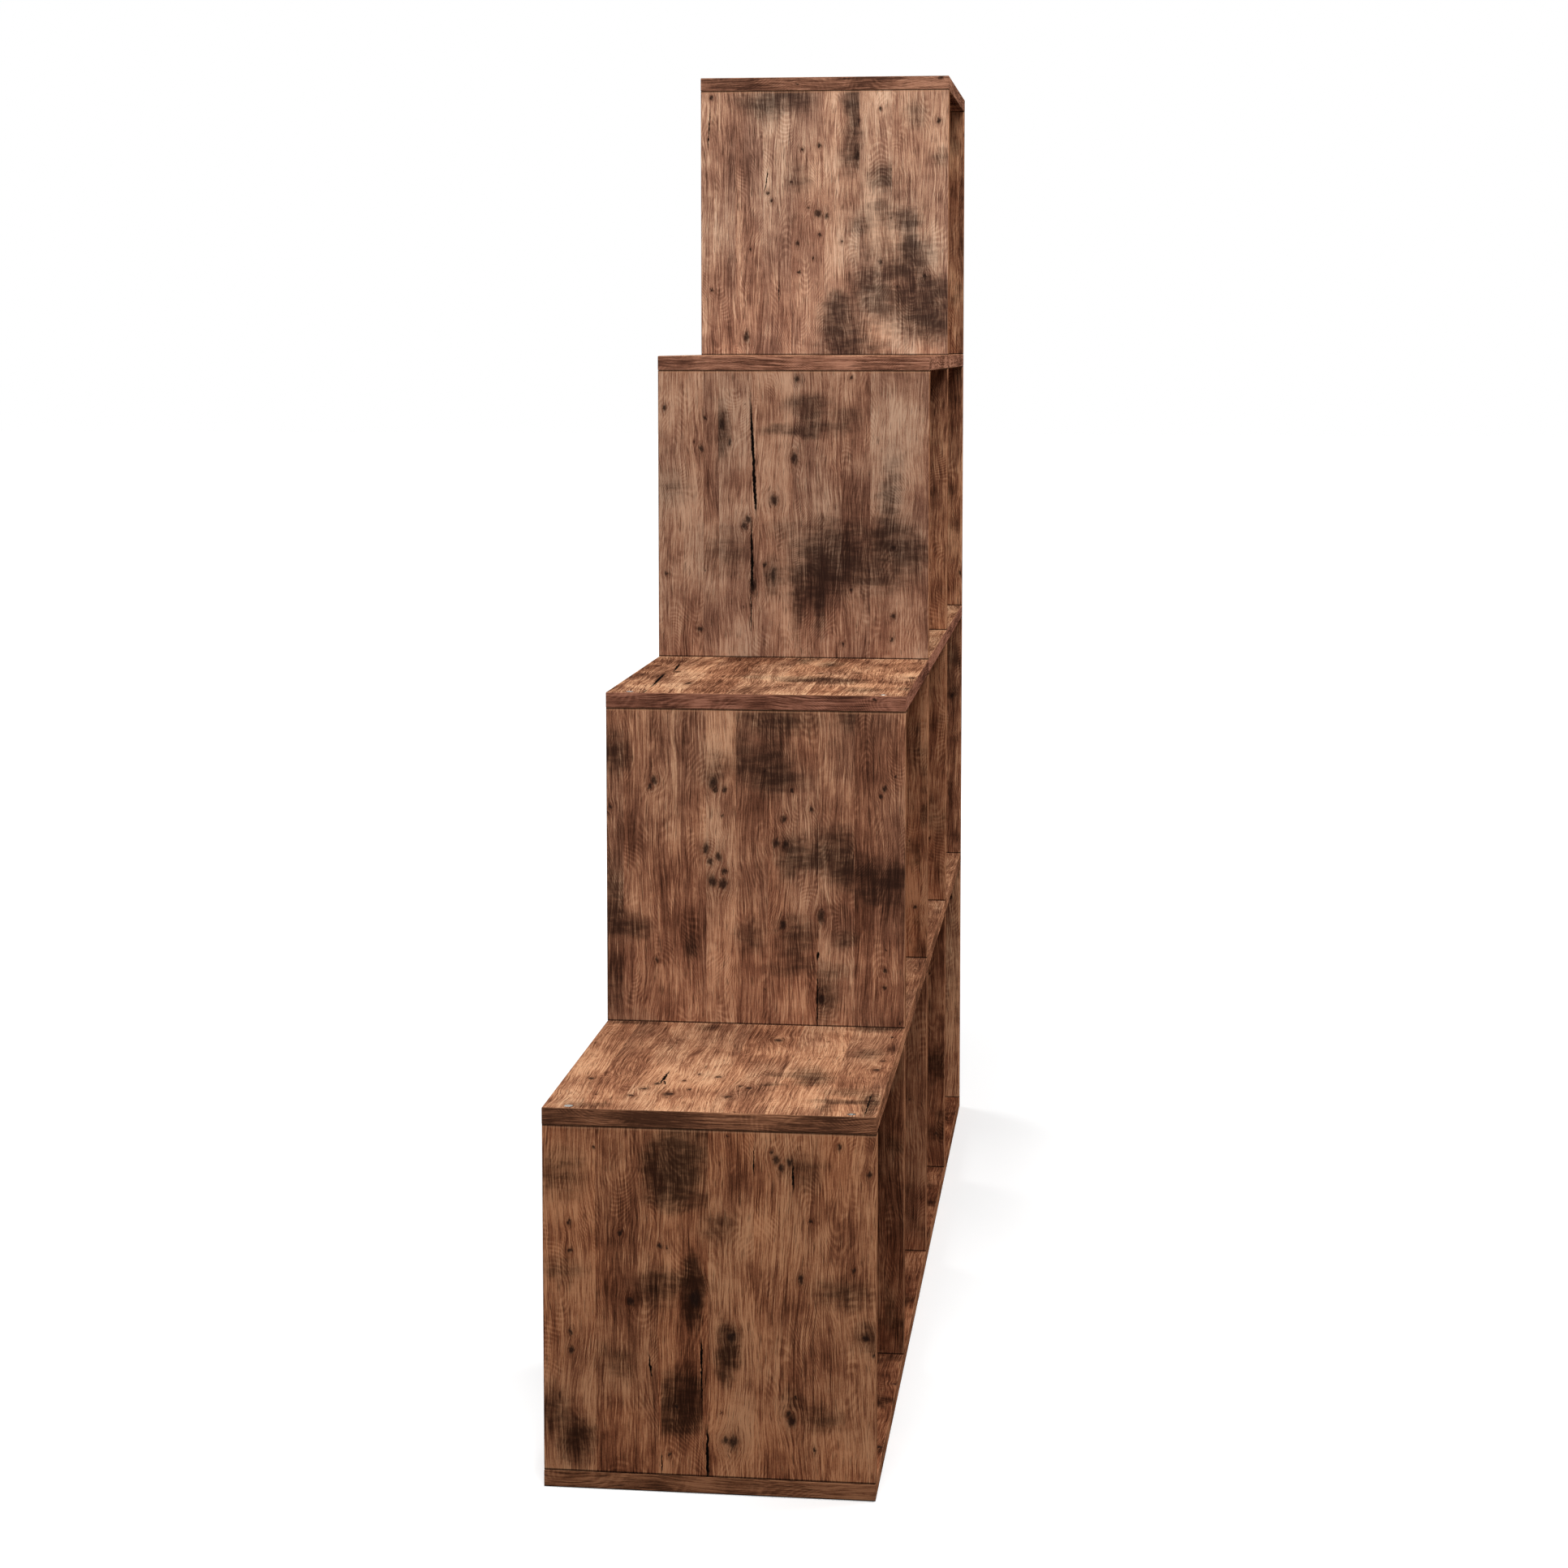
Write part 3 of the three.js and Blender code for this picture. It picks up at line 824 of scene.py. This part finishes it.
def layCracks(tree, name, across, place):
    mask = 0.0
    for spot, along, halfLength, halfWidth, lean in marks.get(name, {}).get("cracks", ()):
        mask = useGroup(tree, groups["stain"], Vector=place, Across=across, Mask=mask, Depth=1.0,
                        Spot=spotOf(name, spot, along), Shrink=shrinkTo(halfWidth, halfLength),
                        Lean=lean, Core=stains["crackCore"])["Mask"]
    return mask


# a line that is full at one distance from a level and gone at another, on the given side of it
def lineAt(tree, along, level, span, side):
    return fade(tree, along, level + side * span[0], level + side * span[1])


def oakMaterial(name, seed):
    upright = name.startswith("upright")
    material, tree, shader = newMaterial("rustic_oak_" + name)
    plane = useGroup(tree, groups["plane"], Lay=0.0 if upright else 1.0)
    across, along, _ = split(tree, plane["Place"])
    share = calc(tree, "DIVIDE", across, oak["boardDepth"])
    tone, shift, _ = split(tree, colourRamp(tree, share, staveStops(name, seed), "CONSTANT"))
    wander = useGroup(tree, groups["wander"], Vector=plane["Place"], Seed=float(seed), Shift=shift,
                      Amount=0.0 if name in marks else wandering["patchAmount"])
    flow, core, halo = layKnots(tree, name, seed, plane["Place"], wander["Knotty"])
    stain = layStains(tree, name, across, wander["Vector"], wander["Patch"])
    crack = layCracks(tree, name, across, wander["Close"])
    stain = times(tree, stain, wander["Blotch"])
    fibres = useGroup(tree, groups["grain"], Vector=flow, Plain=plane["Place"], Seed=float(seed), Stave=tone,
                      Shift=shift, Contrast=contrasts.get(name, 1.0))
    seamShade, arris = 0.0, plane["Arris"]
    # painted shade along the joints at an upright's foot and head, and a painted highlight under its head
    if upright:
        foot, head = endsOf(name)
        footShadeLine = lineAt(tree, along, foot, surface["footJointShade"], 1)
        seamShade = calc(tree, "MAXIMUM", footShadeLine, lineAt(tree, along, head, surface["headJointShade"], -1))
        arris = calc(tree, "MAXIMUM", arris, lineAt(tree, along, head, surface["headHighlight"], -1))
    # painted contact shadow along the lowest edge of the bottom board's banding
    if name == "bottom_board":
        seamShade = times(tree, lineAt(tree, across, 0.0, surface["floorContactShade"], 1), plane["Band"])
    colour = useGroup(tree, groups["colour"], Core=core, Halo=halo, Stain=stain, Crack=crack,
                      Shade=fibres["Shade"], Pore=fibres["Pore"], Fine=fibres["Fine"], Warm=fibres["Warm"],
                      Band=plane["Band"], Arris=arris, Seam=seamShade, Tint=(*printAndLightTints.get(name, (1, 1, 1)), 1),
                      BandTint=(*bandTints.get(name, (1, 1, 1)), 1))
    tooth = foilNoise(tree, plane["Place"], surface["tooth"])
    feed(tree, addBump(tree, shader, surface["toothStrength"], surface["toothHeight"]), tooth)
    feed(tree, shader.inputs["Base Color"], colour["Color"])
    feed(tree, shader.inputs["Roughness"], colour["Roughness"])
    shader.inputs["Specular IOR Level"].default_value = surface["specular"]
    return material


woodNodes = sorted(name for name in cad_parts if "board" in name or "upright" in name)
for seed, name in enumerate(woodNodes, 1):
    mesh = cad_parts[name].data
    mesh.materials.clear()
    mesh.materials.append(oakMaterial(name, seed))
print("oak foil laid on", len(woodNodes), "pieces")


# countersunk wood screws, zinc plated
screw = {
    "length": 50,
    "headRadius": 4.0,
    "headRim": 0.5,
    "headCone": 2.0,
    "neckRadius": 1.9,
    "coreRadius": 1.45,
    "threadRadius": 2.1,
    "threadPitch": 1.9,
    "threadStart": 14,
    "tipLength": 6,
    "recessSpan": 4.6,
    "recessArm": 1.1,
    "recessDepth": 1.8,
    "recessFloor": 0.4,
    "neckStep": 0.6,
    "ridgeHalf": 0.35,  # half the width of the thread's root
    "ridgeRoot": 0.15,  # how deep it stands in the core
    "sides": 32,
    "threadSteps": 14,
    "rimSoftening": 0.18,
    "closest": 0.001,  # points nearer than this are one
    "turns": 7,  # the seed of how far each head is turned
    "sharpAngle": 32,
}


# shank, neck and head, turned about Z with the head's flat at 0, in millimetres
def spunBody():
    s = screw
    profile = [
        (0, -s["length"]),
        (s["coreRadius"], -s["length"] + s["tipLength"]),
        (s["coreRadius"], -s["threadStart"]),
        (s["neckRadius"], -s["threadStart"] + s["neckStep"]),
        (s["neckRadius"], -s["headRim"] - s["headCone"]),
        (s["headRadius"], -s["headRim"]),
        (s["headRadius"], 0),
        (0, 0),
    ]
    shape = bmesh.new()
    points = [shape.verts.new((radius, 0, height)) for radius, height in profile]
    edges = [shape.edges.new(pair) for pair in zip(points, points[1:])]
    bmesh.ops.spin(shape, geom=points + edges, axis=(0, 0, 1), cent=(0, 0, 0), angle=fullTurn,
                   steps=s["sides"], use_merge=True)
    bmesh.ops.remove_doubles(shape, verts=shape.verts, dist=s["closest"])
    top = [v for v in shape.verts if v.co.z > -s["headRim"] / 2 and v.co.xy.length > s["neckRadius"]]
    rim = [e for e in shape.edges if all(v in top for v in e.verts)]
    bmesh.ops.bevel(shape, geom=rim, offset=s["rimSoftening"], segments=2, profile=0.5, affect="EDGES",
                    material=-1)
    bmesh.ops.recalc_face_normals(shape, faces=shape.faces)
    return shape


# a cross that narrows downwards, to cut the recess with
def crossCutter():
    s = screw
    shape = bmesh.new()
    half, reach = s["recessArm"] / 2, s["recessSpan"] / 2
    bmesh.ops.create_cube(shape, size=2 * half)
    for axis in (Vector((1, 0, 0)), Vector((0, 1, 0))):
        for sign in (1, -1):
            side = [f for f in shape.faces if f.normal.dot(axis) * sign > 0.5]
            grown = bmesh.ops.extrude_face_region(shape, geom=side)
            bmesh.ops.delete(shape, geom=side, context="FACES_ONLY")
            moved = [v for v in grown["geom"] if isinstance(v, bmesh.types.BMVert)]
            bmesh.ops.translate(shape, verts=moved, vec=axis * sign * (reach - half))
            shape.normal_update()
    for vert in shape.verts:
        if vert.co.z > 0:
            vert.co.z = s["recessDepth"]
        else:
            vert.co = Vector((vert.co.x * s["recessFloor"], vert.co.y * s["recessFloor"], -s["recessDepth"]))
    bmesh.ops.recalc_face_normals(shape, faces=shape.faces)
    return shape


def threadRidge():
    s = screw
    shape = bmesh.new()
    run = s["length"] - s["tipLength"] - s["threadStart"]
    turns = run / s["threadPitch"]
    low = -s["length"] + s["tipLength"]
    inner, outer, half = s["coreRadius"] - s["ridgeRoot"], s["threadRadius"], s["ridgeHalf"]
    corners = [shape.verts.new(p) for p in ((inner, 0, low - half), (outer, 0, low), (inner, 0, low + half))]
    face = shape.faces.new(corners)
    steps = int(turns * s["threadSteps"])
    bmesh.ops.spin(shape, geom=[face], axis=(0, 0, 1), cent=(0, 0, 0), dvec=(0, 0, run / steps),
                   angle=turns * fullTurn, steps=steps)
    bmesh.ops.recalc_face_normals(shape, faces=shape.faces)
    return shape


def meshFrom(shape, name):
    mesh = bpy.data.meshes.new(name)
    shape.to_mesh(mesh)
    shape.free()
    return mesh


def screwMesh():
    body = bpy.data.objects.new("screw_pattern", meshFrom(spunBody(), "screw_pattern"))
    cutter = bpy.data.objects.new("cross_pattern", meshFrom(crossCutter(), "cross_pattern"))
    for piece in (body, cutter):
        show(piece)
    cut = body.modifiers.new("recess", "BOOLEAN")
    cut.operation = "DIFFERENCE"
    cut.solver = "EXACT"
    cut.object = cutter
    bpy.context.view_layer.update()
    finished = bpy.data.meshes.new_from_object(body.evaluated_get(bpy.context.evaluated_depsgraph_get()))
    shape = bmesh.new()
    shape.from_mesh(finished)
    shape.from_mesh(meshFrom(threadRidge(), "thread_pattern"))
    mesh = meshFrom(shape, "zinc_screw")
    for piece in (body, cutter):
        bpy.data.objects.remove(piece)
    plan = mesh.attributes.new("turning", "FLOAT_VECTOR", "POINT")
    plan.data.foreach_set("vector", [c for vert in mesh.vertices for c in vert.co])
    mesh.transform(Matrix.Scale(millimetre, 4))
    mesh.set_sharp_from_angle(angle=math.radians(screw["sharpAngle"]))
    return mesh


zinc = {
    "bright": srgb(206, 205, 200),
    "dull": srgb(150, 149, 144),
    "recessDark": srgb(40, 34, 30),
    "mottle": ((1.3, 1.3, 1.3), 3.0, 0.6),  # scales per millimetre, octaves, roughness
    "scratch": ((9.0, 0.8, 3.0), 2.0, 0.6),
    "mottleShown": (0.35, 0.65),
    "turningMarks": 42.0,  # rings that the lathe left, in radians per millimetre
    "recessDarkHeight": (-0.15, -0.9),  # below the head's flat
    "recessDarkRadius": 2.6,
    "recessDarkDepth": 0.75,
    "rough": 0.14,
    "scratchRough": 0.15,
    "mottleRough": 0.25,
    "ringRelief": 0.3,
    "reliefStrength": 0.3,
    "reliefHeight": 0.00005,  # metres
}


def zincMaterial():
    material, tree, shader = newMaterial("zinc_plate")
    shader.inputs["Metallic"].default_value = 1
    turning = tree.nodes.new("ShaderNodeAttribute")
    turning.attribute_name = "turning"
    place = turning.outputs["Vector"]
    x, y, z = split(tree, place)
    radius = vecCalc(tree, "LENGTH", join(tree, x, y, 0.0))
    mottle = noise(tree, place, *zinc["mottle"])
    scratch = noise(tree, place, *zinc["scratch"])
    rings = calc(tree, "SINE", times(tree, radius, zinc["turningMarks"]))
    # darker towards the floor of the cross recess
    deep = fade(tree, z, *zinc["recessDarkHeight"])
    inRecess = times(tree, deep, calc(tree, "LESS_THAN", radius, zinc["recessDarkRadius"]))
    colour = mixColour(tree, fade(tree, mottle, *zinc["mottleShown"]), zinc["bright"], zinc["dull"])
    colour = mixColour(tree, times(tree, inRecess, zinc["recessDarkDepth"]), colour, zinc["recessDark"])
    feed(tree, shader.inputs["Base Color"], colour)
    scratched = calc(tree, "MULTIPLY_ADD", scratch, zinc["scratchRough"], zinc["rough"])
    rough = calc(tree, "MULTIPLY_ADD", mottle, zinc["mottleRough"], scratched)
    feed(tree, shader.inputs["Roughness"], rough)
    height = addBump(tree, shader, zinc["reliefStrength"], zinc["reliefHeight"])
    feed(tree, height, calc(tree, "MULTIPLY_ADD", rings, zinc["ringRelief"], scratch))
    return material


def addScrews():
    pattern = screwMesh()
    pattern.materials.clear()
    pattern.materials.append(zincMaterial())
    draw = random.Random(screw["turns"])
    names = sorted(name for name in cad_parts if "screw" in name)
    for name in names:
        low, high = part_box(name)
        middle = (low + high) / 2
        mesh = pattern.copy()
        turn = Matrix.Rotation(draw.uniform(0, quarterTurn), 4, "Z")
        if name.startswith("base"):
            place = Matrix.Translation((middle.x, middle.y, low.z)) @ Matrix.Rotation(math.pi, 4, "X")
        else:
            place = Matrix.Translation((middle.x, middle.y, high.z))
        mesh.transform(place @ turn)
        piece = bpy.data.objects.new("zinc_" + name, mesh)
        show(piece)
        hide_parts(name)
        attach(piece, "root")
    print("screws turned:", len(names), "of", len(pattern.polygons), "faces each")
    bpy.data.meshes.remove(pattern)


addScrews()


# studio: a white floor, a soft lamp above the low end, larger ones in front and behind, light all round
studio = {
    "floorHalf": 30.0,
    "floorDrop": 0.0004,
    "floorRough": 0.9,
    "floorSeen": (0.80, 0.80, 0.80, 1),
    "floorThrown": (0.16, 0.16, 0.16, 1),  # what the floor throws back on the shelf
    "floorGlow": (0.58, 1.0),  # near the shelf and far from it
    "floorReach": (0.9, 2.6),  # metres from the middle of the shelf
    # the floor in front is a little darker, where the shelf keeps light off it
    "shadePlace": (0.0, 0.17, 0.0),
    "shadeShape": (0.22, 2.6, 1.0),
    "shadeReach": (0.12, 0.80),
    "shadeDepth": 0.25,
    "surround": 0.19,
    "lamps": (  # name, place, aimed at, side, watts
        ("key", (-1.75, -0.45, 2.75), (-0.1, 0.0, 0.75), 1.5, 66),
        ("front", (1.2, -3.3, 2.2), (0.0, 0.0, 0.6), 2.0, 78),
        ("rear", (2.4, 3.0, 2.6), (0.0, 0.0, 0.6), 2.0, 48),
    ),
}


def seenDirectly(tree):
    rays = tree.nodes.new("ShaderNodeLightPath").outputs
    passed = calc(tree, "MAXIMUM", rays["Is Glossy Ray"], rays["Is Transmission Ray"])
    return calc(tree, "MAXIMUM", rays["Is Camera Ray"], passed)


def addFloor():
    shape = bmesh.new()
    bmesh.ops.create_grid(shape, x_segments=1, y_segments=1, size=studio["floorHalf"])
    bmesh.ops.translate(shape, verts=shape.verts, vec=(0, 0, -studio["floorDrop"]))
    floor = bpy.data.objects.new("floor", meshFrom(shape, "floor"))
    show(floor)
    material, tree, shader = newMaterial("white_floor")
    seen = seenDirectly(tree)
    colour = mixColour(tree, seen, studio["floorThrown"], studio["floorSeen"])
    feed(tree, shader.inputs["Base Color"], colour)
    shader.inputs["Roughness"].default_value = studio["floorRough"]
    shader.inputs["Specular IOR Level"].default_value = 0.0
    shader.inputs["Emission Color"].default_value = (1, 1, 1, 1)
    place = tree.nodes.new("ShaderNodeTexCoord").outputs["Object"]
    glow = fade(tree, vecCalc(tree, "LENGTH", place), *studio["floorReach"], *studio["floorGlow"])
    oval = vecCalc(tree, "MULTIPLY", vecCalc(tree, "ADD", place, studio["shadePlace"]), studio["shadeShape"])
    shade = fade(tree, vecCalc(tree, "LENGTH", oval), *studio["shadeReach"], studio["shadeDepth"], 0.0)
    lit = times(tree, seen, calc(tree, "SUBTRACT", glow, shade))
    feed(tree, shader.inputs["Emission Strength"], lit)
    floor.data.materials.append(material)


def addSurround():
    world = bpy.data.worlds.new("studio")
    bpy.context.scene.world = world
    world.use_nodes = True
    tree = world.node_tree
    seen = seenDirectly(tree)
    background = tree.nodes["Background"]
    background.inputs["Color"].default_value = (1, 1, 1, 1)
    feed(tree, background.inputs["Strength"], mixValue(tree, seen, studio["surround"], 1.0))


def addLamps():
    for name, place, target, side, watts in studio["lamps"]:
        data = bpy.data.lights.new(name, "AREA")
        data.shape = "SQUARE"
        data.size = side
        data.energy = watts
        lamp = bpy.data.objects.new(name, data)
        lamp.location = place
        lamp.rotation_euler = (Vector(target) - Vector(place)).to_track_quat("-Z", "Y").to_euler()
        show(lamp)


addFloor()
addSurround()
addLamps()
bpy.context.scene.view_settings.view_transform = "Standard"
print("studio lit")
